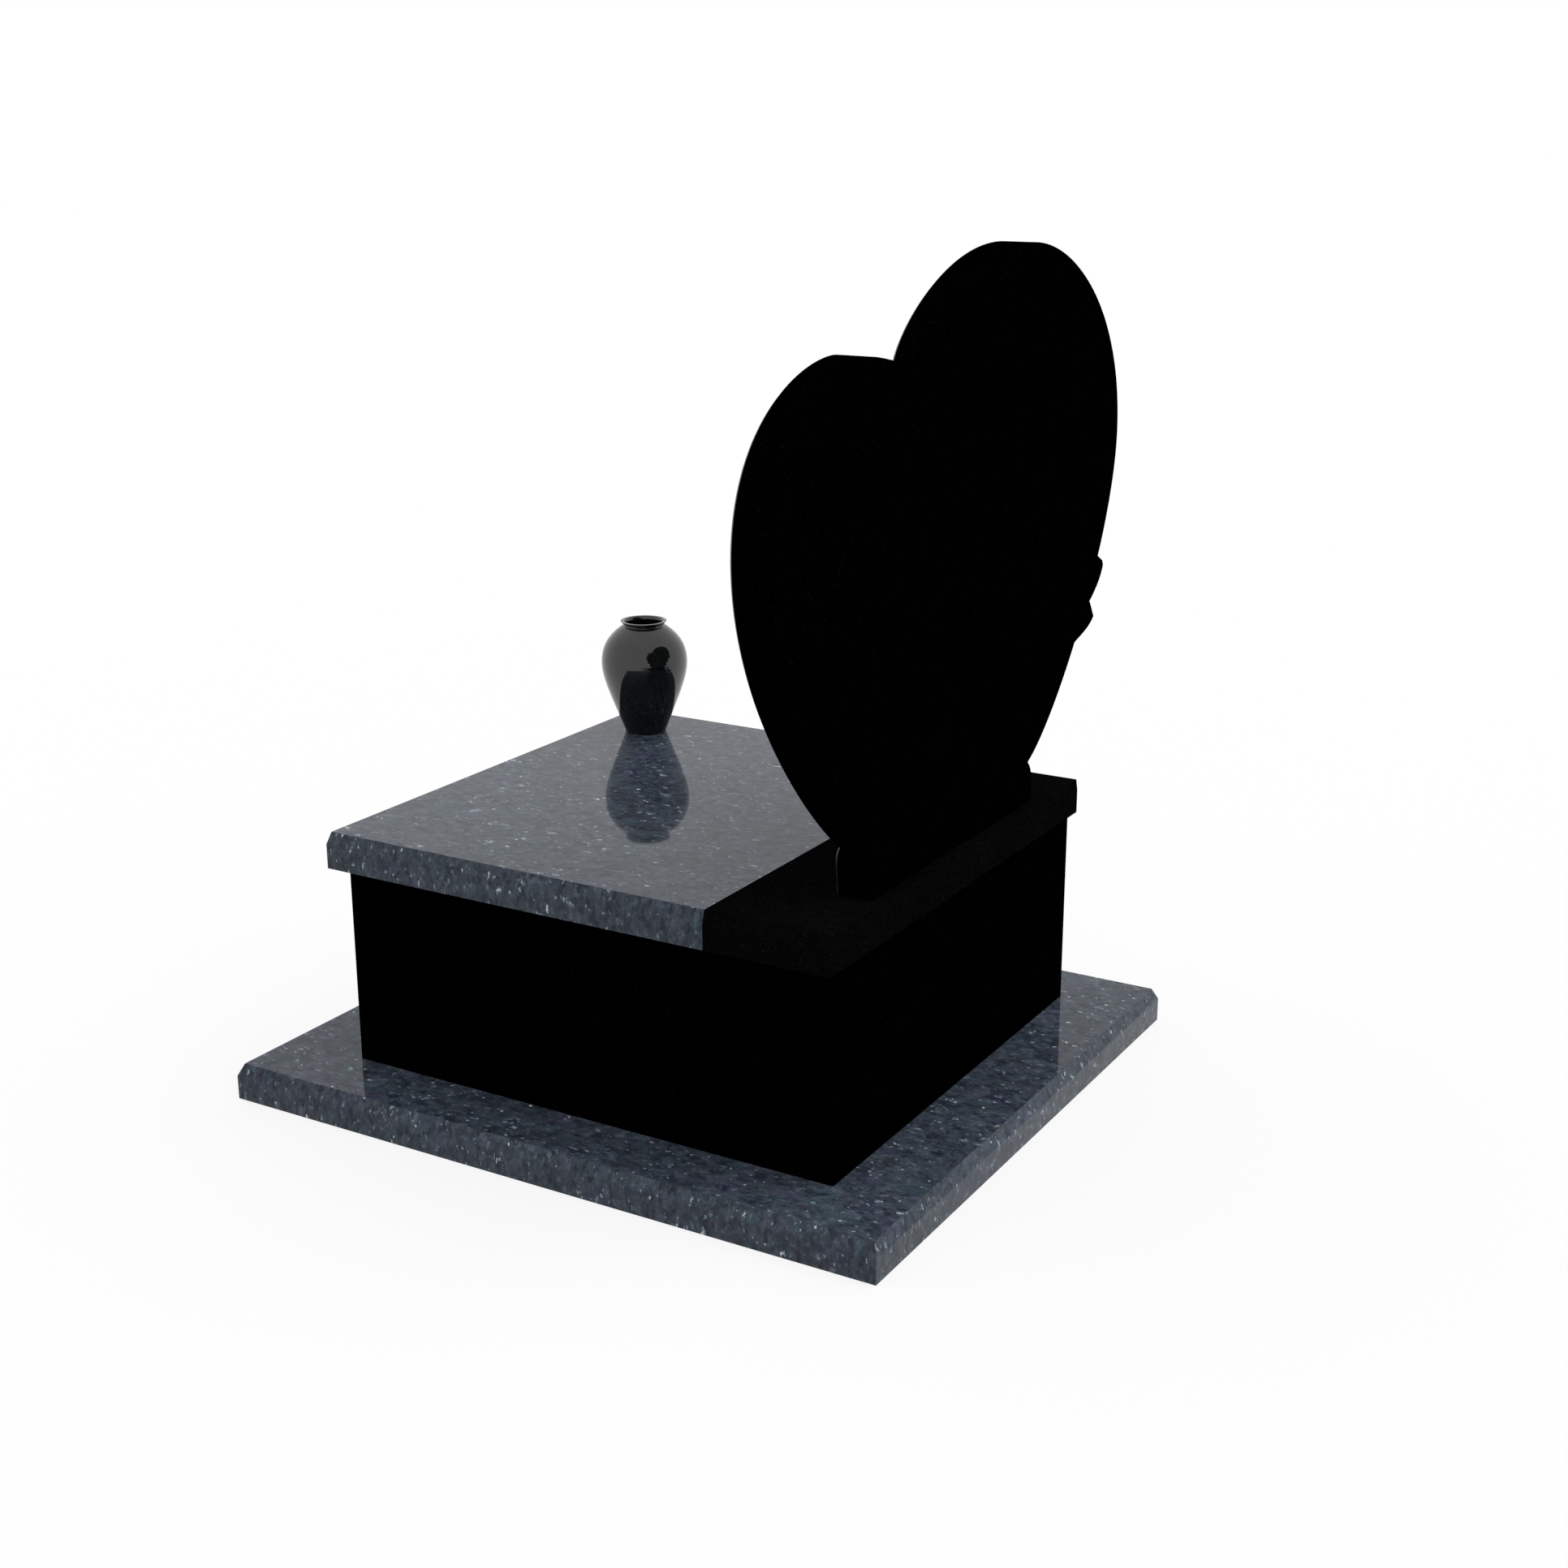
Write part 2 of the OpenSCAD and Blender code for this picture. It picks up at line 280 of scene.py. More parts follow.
# %% [markdown]
# ## Black granite and its finishes
#
# The kerb, the plinth slab and the heart are one fine-grained black granite.
# Polished, it is a black mirror. Honed by hand, as a chamfer is, it is a soft
# dark grey. Rubbed, it stays black but takes no reflections. Where a carver has
# cut into it the broken crystals scatter light, so a carving is grey on a black
# ground. One function makes all of them from the same crystals, so the stone
# plainly stays the same stone.

# %% Black granite
BLACK_GRAIN = 2.2 * MM   # Real grains are under 1.5 mm; drawn a little coarser so that they show.
CLOUD = 60 * MM          # Patches where the stone is a shade paler.
TOOTH = 2.5 * MM         # Spacing of the pits that chisel and sandblast leave.
TOOTH_DEPTH = 0.8 * MM


def black_granite(name, dark, pale, painted_glint_colour, roughness, level, tooth):
    """The granite with its grain colours and painted glints on rare grains, roughness, specular
    level and strength of tooth.
    """
    material, tree, shader = new_material(name)
    place = add_node(tree, "ShaderNodeTexCoord").outputs["Object"]
    grains = add_node(tree, "ShaderNodeTexVoronoi", Vector=place, Scale=1 / BLACK_GRAIN)
    one = add_node(tree, "ShaderNodeSeparateColor", Color=grains.outputs["Color"])
    clouds = add_node(tree, "ShaderNodeTexNoise", Vector=place, Scale=1 / CLOUD, Detail=3.0)
    tone = add_node(tree, "ShaderNodeMath", {"operation": "MULTIPLY"},
                    i0=one.outputs["Red"], i1=clouds.outputs["Fac"])
    ground = ramp(tree, tone.outputs[0], [(0.0, dark), (0.75, pale)])
    # The rarest grains take the spark colour: painted glints in the granite.
    rare = add_node(tree, "ShaderNodeMapRange", Value=one.outputs["Green"],
                    From_Min=0.965, From_Max=0.985)
    colour = add_node(tree, "ShaderNodeMix", {"data_type": "RGBA"},
                      i0=rare.outputs[0], i6=ground, i7=linear(painted_glint_colour))
    tree.links.new(colour.outputs[2], shader.inputs["Base Color"])
    gloss = add_node(tree, "ShaderNodeMapRange", Value=one.outputs["Blue"],
                     To_Min=roughness * 0.8, To_Max=roughness * 1.2)
    tree.links.new(gloss.outputs[0], shader.inputs["Roughness"])
    shader.inputs["Specular IOR Level"].default_value = level
    if tooth:
        pits = add_node(tree, "ShaderNodeTexNoise", Vector=place, Scale=1 / TOOTH, Detail=4.0)
        bump = add_node(tree, "ShaderNodeBump", Strength=tooth, Distance=TOOTH_DEPTH,
                        Height=pits.outputs["Fac"])
        tree.links.new(bump.outputs[0], shader.inputs["Normal"])
    return material


rubbed_black = black_granite(
    "black_granite_rubbed", "#000001", "#030304", "#0b0b0d", roughness=0.30, level=0.0, tooth=0)
plinth_black = black_granite(
    "black_granite_plinth", "#050506", "#101011", "#17181a", roughness=0.45, level=0.0, tooth=0)
polished_black = black_granite(
    "black_granite_polished", "#030304", "#09090a", "#17191b", roughness=0.04, level=0.3, tooth=0)
honed_black = black_granite(
    "black_granite_honed", "#1d1e20", "#2b2c2f", "#37383b", roughness=0.42, level=0.3, tooth=0)
carved_black = black_granite(
    "black_granite_carved", "#4c4e51", "#7c7f83", "#a3a6aa", roughness=0.62, level=0.2, tooth=0.4)

for name in ("kerb_left", "kerb_right", "kerb_front", "kerb_rear"):
    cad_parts[name].material_slots[0].material = rubbed_black
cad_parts["plinth_slab"].material_slots[0].material = plinth_black

# The heart has four of the finishes, and its faces name them by number.
heart_finishes = [rubbed_black, polished_black, carved_black, honed_black]
RUBBED, POLISHED, CARVED, HONED = range(4)
print("black granite:", len(heart_finishes) + 1, "finishes, grain", BLACK_GRAIN / MM, "mm")


# %% [markdown]
# ## The heart
#
# The heart was sawn out of a slab 60 mm thick. Its front is polished and has a
# honed chamfer all round, which stops the edge from chipping and catches a thin
# line of light. The CAD solid has the outline but no chamfer, so its outline is
# read back, smoothed between its corners, and built again as four rings: back
# edge, back, front and front edge.

# %% Read the outline off the solid
SHARP = 20.0          # A turn of more degrees than this is a corner of the outline.
SHORTEST = 0.8 * MM   # Points of the outline that are nearer each other than this are one.


def outline_of(node, y):
    """The outer loop of a node's flat face at that y, as (x, z), anticlockwise seen from -Y."""
    work = bmesh.new()
    work.from_mesh(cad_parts[node].data)
    bmesh.ops.remove_doubles(work, verts=work.verts, dist=0.02 * MM)
    flat = {f for f in work.faces if all(abs(v.co.y - y) < 0.05 * MM for v in f.verts)}
    after = {}
    for face in flat:
        for loop in face.loops:
            if not any(other in flat for other in loop.edge.link_faces if other is not face):
                after[loop.vert] = loop.link_loop_next.vert
    first = next(iter(after))
    loop, here = [], first
    while True:
        loop.append(Vector((here.co.x, here.co.z)))
        here = after[here]
        if here is first:
            break
    work.free()
    kept = [p for i, p in enumerate(loop) if (p - loop[i - 1]).length > SHORTEST]
    area = sum(a.x * b.y - b.x * a.y for a, b in zip(kept, kept[1:] + kept[:1])) / 2
    return kept if area > 0 else kept[::-1]


def turn_at(points, i):
    """How sharply a closed line of points turns at one of them, in degrees, left positive."""
    a = points[i] - points[i - 1]
    b = points[(i + 1) % len(points)] - points[i]
    return math.degrees(math.atan2(a.x * b.y - a.y * b.x, a.dot(b)))


def smoothed(points, cuts):
    """The closed line with more points: a smooth curve from one corner to the next."""
    count = len(points)
    corner = [abs(turn_at(points, i)) > SHARP for i in range(count)]
    out = []
    for i in range(count):
        p0, p1, p2, p3 = (points[(i + k) % count] for k in (-1, 0, 1, 2))
        span = (p2 - p1).length
        leave = (p2 - p1) if corner[i] else (p2 - p0).normalized() * span
        arrive = (p2 - p1) if corner[(i + 1) % count] else (p3 - p1).normalized() * span
        steps = cuts if span > 4 * MM else 1
        for k in range(steps):
            t = k / steps
            out.append(
                p1 * (2 * t**3 - 3 * t**2 + 1) + leave * (t**3 - 2 * t**2 + t)
                + p2 * (3 * t**2 - 2 * t**3) + arrive * (t**3 - t**2))
    return out


heart_low, heart_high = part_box("heart_headstone")
face_y, back_y = heart_low.y, heart_high.y
plain_outline = outline_of("heart_headstone", face_y)
heart_outline = smoothed(plain_outline, 4)
print("heart outline:", len(plain_outline), "points read,", len(heart_outline), "after smoothing")


# %% [markdown]
# A ring drawn a few millimetres further in is the same line with each point
# moved along the bisector of its two sides. Close to a sharp outward corner that
# would fold the line over itself, so the points there all go to the corner's own
# mitre. The side faces are shaded smooth and the chamfer's edges stay sharp, as
# a saw leaves them.

# %% Build the chamfered heart
CHAMFER_IN = 4.0 * MM
CHAMFER_BACK = 4.0 * MM
REAR_CHAMFER = 1.5 * MM


def gap_to_line(points, at, index, reach=24):
    """Distance from a point to the closed line near one of its vertices."""
    nearest = 1.0
    for k in range(index - reach, index + reach):
        a, b = points[k % len(points)], points[(k + 1) % len(points)]
        along = b - a
        t = max(0.0, min(1.0, (at - a).dot(along) / max(along.length_squared, 1e-12)))
        nearest = min(nearest, (at - a - along * t).length)
    return nearest


def drawn_in(points, distance):
    """The closed anticlockwise line moved inwards by that distance."""
    count = len(points)
    moved = []
    for i, p in enumerate(points):
        a = (p - points[i - 1]).normalized()
        b = (points[(i + 1) % count] - p).normalized()
        inward = (Vector((-a.y, a.x)) + Vector((-b.y, b.x))).normalized()
        moved.append(p + inward * (distance / max(0.45, inward.dot(Vector((-b.y, b.x))))))
    corners = [i for i in range(count) if turn_at(points, i) > SHARP]
    out = []
    for i, p in enumerate(moved):
        if gap_to_line(points, p, i) < 0.97 * distance and corners:
            near = min(corners, key=lambda c: min((c - i) % count, (i - c) % count))
            p = moved[near]
        out.append(p)
    return out


def ring(work, points, y):
    """One vertex for each point, shared where points coincide."""
    verts = []
    for p in points:
        if verts and (verts[-1].co - Vector((p.x, y, p.y))).length < 0.01 * MM:
            verts.append(verts[-1])
        else:
            verts.append(work.verts.new((p.x, y, p.y)))
    if (verts[0].co - verts[-1].co).length < 0.01 * MM:
        last = verts[-1]
        verts = [verts[0] if v is last else v for v in verts]
        if last is not verts[0]:
            work.verts.remove(last)
    return verts


def without_repeats(items):
    """The loop's items without any that follow themselves."""
    return [v for i, v in enumerate(items) if v is not items[i - 1]]


def wall_between(work, one, other, material_index):
    """Smooth-shaded faces from one ring to the next."""
    for i in range(len(one)):
        j = (i + 1) % len(one)
        corners = without_repeats([one[i], one[j], other[j], other[i]])
        if len(corners) > 2:
            face = work.faces.new(corners)
            face.smooth = True
            face.material_index = material_index


def cap(work, verts, material_index):
    """Fills a flat ring with well-shaped triangles."""
    verts = without_repeats(verts)
    flat = [Vector((v.co.x, v.co.z)) for v in verts]
    border = [(i, (i + 1) % len(flat)) for i in range(len(flat))]
    for triangle in delaunay_2d_cdt(flat, border, [], 1, 1e-7)[2]:
        face = work.faces.new([verts[i] for i in triangle])
        face.material_index = material_index


SHARP_EDGE = math.radians(40)   # An edge that bends more than this is shaded as a sharp one.


def finished_piece(work, name, materials):
    """The bmesh as an object at the origin, with its sharp edges kept sharp."""
    mesh = bpy.data.meshes.new(name)
    work.to_mesh(mesh)
    work.free()
    for material in materials:
        mesh.materials.append(material)
    mesh.set_sharp_from_angle(angle=SHARP_EDGE)
    piece = bpy.data.objects.new(name, mesh)
    bpy.context.scene.collection.objects.link(piece)
    return piece


heart_work = bmesh.new()
rings = [
    ring(heart_work, drawn_in(heart_outline, CHAMFER_IN), face_y),
    ring(heart_work, heart_outline, face_y + CHAMFER_BACK),
    ring(heart_work, heart_outline, back_y - REAR_CHAMFER),
    ring(heart_work, drawn_in(heart_outline, REAR_CHAMFER), back_y),
]
wall_between(heart_work, rings[0], rings[1], HONED)
wall_between(heart_work, rings[1], rings[2], RUBBED)
wall_between(heart_work, rings[2], rings[3], RUBBED)
cap(heart_work, rings[0], POLISHED)
cap(heart_work, list(reversed(rings[3])), RUBBED)
bmesh.ops.recalc_face_normals(heart_work, faces=heart_work.faces)
print("heart:", len(heart_work.faces), "faces,",
      sum(1 for e in heart_work.edges if not e.is_manifold), "open edges")


# %% [markdown]
# ## The carved spray
#
# Two leaf tips stand out past the tall lobe's flank. They belong to a spray cut
# in low relief on the front: one rose, a few leaves and a stem. A leaf is a
# thick closed patch, laid out along its midrib, so its edge is smooth whatever
# way it points. Its underside is sunk a little way into the stone. The two
# leaves that reach the flank are wide, and are cut off by the heart's own edge.

# %% A patch of carved stone
SUNK = 2.0 * MM   # How far a carved patch reaches back into the face.


def stone_patch(work, grid):
    """A closed lump: a grid of top points, skirts down into the stone, and a flat underside."""
    rows, cols = len(grid), len(grid[0])
    top = [[work.verts.new(p) for p in row] for row in grid]
    for r in range(rows - 1):
        for c in range(cols - 1):
            face = work.faces.new((top[r][c], top[r][c + 1], top[r + 1][c + 1], top[r + 1][c]))
            face.smooth = True
    rim = (top[0] + [row[-1] for row in top[1:]] + top[-1][-2::-1]
           + [row[0] for row in top[-2:0:-1]])
    foot = [work.verts.new((v.co.x, face_y + SUNK, v.co.z)) for v in rim]
    for i in range(len(rim)):
        j = (i + 1) % len(rim)
        work.faces.new((rim[i], foot[i], foot[j], rim[j]))
    work.faces.new(foot)


# %% Leaves
LEAF_STEPS = 44    # Rows of points along a leaf.
LEAF_SIDES = 10    # Points from the midrib to either edge.
LEAF_TEETH = 9
RIB_DEPTH = 2.2 * MM
VEIN_DEPTH = 1.1 * MM


def kept_inside(line, at):
    """The place itself if it lies inside the closed line, else the nearest place on the line."""
    inside, nearest, best = False, None, 1.0
    for i, b in enumerate(line):
        a = line[i - 1]
        if (a.y > at.y) != (b.y > at.y) and at.x < a.x + (b.x - a.x) * (at.y - a.y) / (b.y - a.y):
            inside = not inside
        step = b - a
        t = max(0.0, min(1.0, (at - a).dot(step) / max(step.length_squared, 1e-12)))
        spot = a + step * t
        if (at - spot).length < best:
            nearest, best = spot, (at - spot).length
    return at if inside else nearest


def leaf(work, base, tip, half_width, lift, bend, edge=None):
    """A pointed leaf from base to tip, both (x, z) on the face, held inside an edge if given."""
    along = tip - base
    across = Vector((-along.y, along.x)).normalized()
    grid = []
    for i in range(LEAF_STEPS + 1):
        t = 0.012 + 0.976 * i / LEAF_STEPS
        swell = math.sin(math.pi * t ** 0.78) ** 0.85 * (1 - 0.25 * t)
        saw = 1 - 0.07 * ((t * LEAF_TEETH) % 1.0)
        row = []
        for k in range(-LEAF_SIDES, LEAF_SIDES + 1):
            v = k / LEAF_SIDES
            width = half_width * swell * (saw if abs(v) > 0.85 else 1.0)
            sweep = 0.256 * abs(v) * along.length * (1 - t) * t
            spot = base + along * t + along.normalized() * sweep
            spot += across * (v * width + bend * math.sin(math.pi * t))
            if edge:
                spot = kept_inside(edge, spot)
            dome = (1 - abs(v) ** 2.4) ** 0.5
            dome *= 0.35 + 0.65 * math.sin(math.pi * min(1, t * 1.15)) ** 0.6
            rib = math.exp(-(v / 0.10) ** 2)
            veins = (0.5 + 0.5 * math.cos(2 * math.pi * (t * 7 - abs(v) * 1.5))) ** 4
            height = lift * (0.30 + 0.70 * dome) - RIB_DEPTH * rib
            height -= VEIN_DEPTH * veins * (1 - abs(v))
            row.append(Vector((spot.x, face_y - max(0.6 * MM, height), spot.y)))
        grid.append(row)
    stone_patch(work, grid)


# %% Stem
STEM_SIDES = 8


def stem(work, path, start_radius, end_radius):
    """A half-round ridge along a smooth path of (x, z) points."""
    line = curve_through(path, 10)
    grid = []
    for i, p in enumerate(line):
        t = i / (len(line) - 1)
        along = (line[min(i + 1, len(line) - 1)] - line[max(i - 1, 0)]).normalized()
        across = Vector((-along.y, along.x))
        radius = start_radius + (end_radius - start_radius) * t
        row = []
        for k in range(STEM_SIDES + 1):
            a = math.pi * k / STEM_SIDES
            spot = p - across * radius * math.cos(a)
            row.append(Vector((spot.x, face_y - 0.5 * MM - 1.5 * radius * math.sin(a), spot.y)))
        grid.append(row)
    stone_patch(work, grid)


def curve_through(points, cuts):
    """More points on a smooth open curve through these."""
    ends = [points[0] * 2 - points[1], *points, points[-1] * 2 - points[-2]]
    out = []
    for i in range(1, len(ends) - 2):
        for k in range(cuts):
            t = k / cuts
            a, b, c, d = ends[i - 1:i + 3]
            out.append(0.5 * (2 * b + (c - a) * t + (2 * a - 5 * b + 4 * c - d) * t**2
                              + (3 * b - a - 3 * c + d) * t**3))
    return [*out, points[-1]]


# %% Find the leaf tips and place the spray
# The two leaf tips are the sharp outward corners of the tall lobe's flank.
count = len(plain_outline)
tips = [plain_outline[i] for i in range(count)
        if turn_at(plain_outline, i) > 45 and plain_outline[i].x < 0.6 * heart_low.x
        and plain_outline[i].y > heart_low.z + 200 * MM]
tips.sort(key=lambda p: -p.y)
upper_tip, lower_tip = tips[0], tips[1]
rose_middle = (upper_tip + lower_tip) / 2 + Vector((132 * MM, 4 * MM))
print("leaf tips", [round(c, 3) for c in (*upper_tip, *lower_tip)], "rose at",
      [round(c, 3) for c in rose_middle])


def from_rose(angle, distance):
    """A place on the face, seen from the rose's middle: degrees from +X, millimetres."""
    a = math.radians(angle)
    return rose_middle + Vector((math.cos(a), math.sin(a))) * distance * MM


spray_work = bmesh.new()
face_edge = drawn_in(heart_outline, CHAMFER_IN)
leaf(spray_work, from_rose(206, 26), lower_tip + Vector((5, 1)) * MM,
     36 * MM, 7 * MM, 12 * MM, face_edge)
leaf(spray_work, from_rose(168, 30), upper_tip + Vector((8, 8)) * MM,
     40 * MM, 11 * MM, 6 * MM, face_edge)
leaf(spray_work, from_rose(50, 34), from_rose(42, 138), 24 * MM, 9 * MM, -7 * MM)
leaf(spray_work, from_rose(-36, 34), from_rose(-22, 132), 22 * MM, 9 * MM, 6 * MM)
leaf(spray_work, from_rose(100, 34), from_rose(106, 118), 20 * MM, 8 * MM, 5 * MM)
stem(spray_work, [from_rose(-70, 40), from_rose(-64, 90), from_rose(-58, 150), from_rose(-54, 212)],
     5.0 * MM, 3.4 * MM)
bmesh.ops.recalc_face_normals(spray_work, faces=spray_work.faces)
print("leaves and stem:", len(spray_work.faces), "faces,",
      sum(1 for e in spray_work.edges if not e.is_manifold), "open edges")


# %% [markdown]
# ## The rose
#
# A rose is one petal repeated: each is turned by the golden angle from the last,
# and each is smaller, higher and more upright, until the last ones close into
# the bud. That is a rule, so Geometry Nodes do it. Only one petal is modelled.
# The whole is then flattened, because it is a relief and not a flower.

# %% One petal
def petal_object():
    """One cupped petal with a rolled rim, pointing along +X, 1 long, closed and thick."""
    work = bmesh.new()
    steps, sides = 12, 8
    top, under = [], []
    for i in range(steps + 1):
        t = i / steps
        upper_row, under_row = [], []
        for k in range(-sides, sides + 1):
            v = k / sides
            width = 0.56 * math.sin(math.pi * (0.10 + 0.58 * t)) ** 0.8
            x = t * (1.0 - 0.20 * v * v) + 0.02 * math.cos(3 * math.pi * v) * t
            y = v * width
            z = 0.34 * t ** 2 + 0.16 * v * v * t - 0.42 * max(0.0, t - 0.80) ** 1.2
            upper_row.append(work.verts.new((x, y, z)))
            under_row.append(work.verts.new((x * 0.985, y * 0.985, z - 0.16 + 0.10 * t)))
        top.append(upper_row)
        under.append(under_row)
    for i in range(steps):
        for k in range(2 * sides):
            work.faces.new((top[i][k], top[i + 1][k], top[i + 1][k + 1], top[i][k + 1]))
            work.faces.new((under[i][k], under[i][k + 1], under[i + 1][k + 1], under[i + 1][k]))
        for k, flip in ((0, False), (2 * sides, True)):
            side = (top[i][k], under[i][k], under[i + 1][k], top[i + 1][k])
            work.faces.new(side[::-1] if flip else side)
    for row_t, row_u, flip in ((top[0], under[0], False), (top[-1], under[-1], True)):
        for k in range(2 * sides):
            end = (row_t[k], row_t[k + 1], row_u[k + 1], row_u[k])
            work.faces.new(end[::-1] if flip else end)
    bmesh.ops.recalc_face_normals(work, faces=work.faces)
    mesh = bpy.data.meshes.new("petal")
    work.to_mesh(mesh)
    work.free()
    petal = bpy.data.objects.new("petal", mesh)
    bpy.context.scene.collection.objects.link(petal)
    return petal


# %% Set the petals round with Geometry Nodes
def rose_tree(material):
    tree = bpy.data.node_groups.new("set_petals_round", "GeometryNodeTree")
    for name, kind in (("Petal", "Geometry"), ("Petals", "Int"), ("Turn", "Float"),
                       ("Reach", "Float"), ("Bud share", "Float"), ("Depth", "Float"),
                       ("Lay", "Float"), ("Stand", "Float"), ("Middle", "Vector")):
        tree.interface.new_socket(name, in_out="INPUT", socket_type="NodeSocket" + kind)
    tree.interface.new_socket("Rose", in_out="OUTPUT", socket_type="NodeSocketGeometry")
    given = add_node(tree, "NodeGroupInput").outputs
    index = add_node(tree, "GeometryNodeInputIndex").outputs[0]
    last = add_node(tree, "ShaderNodeMath", {"operation": "SUBTRACT"}, i0=given["Petals"], i1=1.0)
    share = add_node(tree, "ShaderNodeMath", {"operation": "DIVIDE"}, i0=index, i1=last.outputs[0])
    share = share.outputs[0]
    angle = add_node(tree, "ShaderNodeMath", {"operation": "MULTIPLY"}, i0=index, i1=given["Turn"])
    tilt = add_node(tree, "ShaderNodeMapRange", Value=share, To_Min=given["Lay"],
                    To_Max=given["Stand"])
    size = add_node(tree, "ShaderNodeMapRange", Value=share, To_Min=1.0, To_Max=given["Bud share"])
    size = add_node(tree, "ShaderNodeMath", {"operation": "MULTIPLY"},
                    i0=size.outputs[0], i1=given["Reach"])
    rise = add_node(tree, "ShaderNodeMath", {"operation": "MULTIPLY"}, i0=share, i1=given["Depth"])
    turn = add_node(tree, "ShaderNodeCombineXYZ", Y=tilt.outputs[0], Z=angle.outputs[0])
    place = add_node(tree, "ShaderNodeCombineXYZ", Z=rise.outputs[0])
    points = add_node(tree, "GeometryNodeMeshLine", {"mode": "OFFSET"}, Count=given["Petals"],
                      Offset=(0.0, 0.0, 0.0))
    lifted = add_node(tree, "GeometryNodeSetPosition", Geometry=points.outputs[0],
                      Position=place.outputs[0])
    petals = add_node(tree, "GeometryNodeInstanceOnPoints", Points=lifted.outputs[0],
                      Instance=given["Petal"], Rotation=turn.outputs[0], Scale=size.outputs[0])
    real = add_node(tree, "GeometryNodeRealizeInstances", Geometry=petals.outputs[0])
    flat = add_node(tree, "GeometryNodeTransform", Geometry=real.outputs[0],
                    Scale=(1.0, 1.0, 0.50))
    faced = add_node(tree, "GeometryNodeTransform", Geometry=flat.outputs[0],
                     Translation=given["Middle"], Rotation=(math.radians(90), 0.0, 0.0))
    smooth = add_node(tree, "GeometryNodeSetShadeSmooth", Geometry=faced.outputs[0])
    stone = add_node(tree, "GeometryNodeSetMaterial", Geometry=smooth.outputs[0], Material=material)
    add_node(tree, "NodeGroupOutput", Rose=stone.outputs[0])
    return tree


def made_plain(source, tree, values, name):
    """Runs a tree on an object and returns the result as a new object with a plain mesh."""
    modifier = source.modifiers.new("make", "NODES")
    modifier.node_group = tree
    for socket in tree.interface.items_tree:
        if socket.in_out == "INPUT" and socket.name in values:
            modifier[socket.identifier] = values[socket.name]
    shown = source.evaluated_get(bpy.context.evaluated_depsgraph_get())
    mesh = bpy.data.meshes.new_from_object(shown)
    mesh.name = name
    piece = bpy.data.objects.new(name, mesh)
    bpy.context.scene.collection.objects.link(piece)
    bpy.data.objects.remove(source)
    return piece


GOLDEN_ANGLE = math.radians(137.508)
rose = made_plain(petal_object(), rose_tree(carved_black), {
    "Petals": 17, "Turn": GOLDEN_ANGLE, "Reach": 60 * MM, "Bud share": 0.26,
    "Depth": 22 * MM, "Lay": math.radians(-4), "Stand": math.radians(-62),
    "Middle": (rose_middle.x, face_y + 1.0 * MM, rose_middle.y)}, "rose")
print("rose:", len(rose.data.polygons), "faces, depth",
      round((face_y - min(v.co.y for v in rose.data.vertices)) / MM, 1), "mm")


# %% Join the spray to the heart
spray = finished_piece(spray_work, "spray", heart_finishes)
before = len(heart_work.faces)
heart_work.from_mesh(spray.data)
heart_work.from_mesh(rose.data)
heart_work.faces.ensure_lookup_table()
for face in heart_work.faces[before:]:
    face.material_index = CARVED
bpy.data.objects.remove(spray)
bpy.data.objects.remove(rose)
heart_stone = finished_piece(heart_work, "heart_stone", heart_finishes)
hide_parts("heart_headstone")
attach(heart_stone, "root")
print("heart stone:", len(heart_stone.data.polygons), "faces in all")


# %% [markdown]
# ## The vase
#
# A thrown vase is a surface of revolution, so one line drawn from the middle of
# its foot, up its outside, over the lip and down its inside is the whole pot.
# The CAD solid's facets would show in a gloss glaze, so that line is read off
# the solid, smoothed, and swept round by a small Geometry Nodes tree. The tree
# sweeps it along a circle so small that it acts as an axis.

# %% Read the vase's profile off the solid
def vase_profile():
    """Outside points from foot to lip, then inside points from lip to floor, as (radius, z)."""
    low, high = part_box("vase")
    axis = (low + high) / 2
    outer, inner = {}, {}
    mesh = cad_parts["vase"].data
    for face in mesh.polygons:
        out = face.center - axis
        out.z = 0
        side = face.normal.dot(out)
        if abs(face.normal.z) > 0.98:
            continue
        for i in face.vertices:
            co = mesh.vertices[i].co
            radius = math.hypot(co.x - axis.x, co.y - axis.y)
            (outer if side > 0 else inner)[round(co.z / MM, 1)] = radius
    going_up = [Vector((outer[z], z * MM)) for z in sorted(outer)]
    going_down = [Vector((inner[z], z * MM)) for z in sorted(inner, reverse=True)]
    return axis, going_up, going_down


vase_axis, outside, inside = vase_profile()
foot_z = outside[0].y
print("vase profile:", len(outside), "outside and", len(inside), "inside points, foot radius",
      round(outside[0].x / MM, 1), "lip radius", round(outside[-1].x / MM, 1))


# %% Sweep the profile round with Geometry Nodes
def rounded_over(a, corner, b, radius, steps=5):
    """A small arc-like curve that takes the sharp corner off a profile."""
    start = corner + (a - corner).normalized() * radius
    end = corner + (b - corner).normalized() * radius
    return [start.lerp(corner, t).lerp(corner.lerp(end, t), t)
            for t in (k / steps for k in range(steps + 1))]


VASE_FLOOR = 8.0 * MM    # Thickness of the clay at the bottom.
FOOT_HOLLOW = 1.2 * MM   # The foot is trimmed hollow, so that the vase stands on its rim.
FOOT_RIM = 5.0 * MM
FOOT_ROUND = 1.2 * MM    # How far the foot's and the lip's edges are rounded over.
LIP_OUTSIDE_ROUND = 1.6 * MM
LIP_INSIDE_ROUND = 1.4 * MM
VASE_SIDES = 128

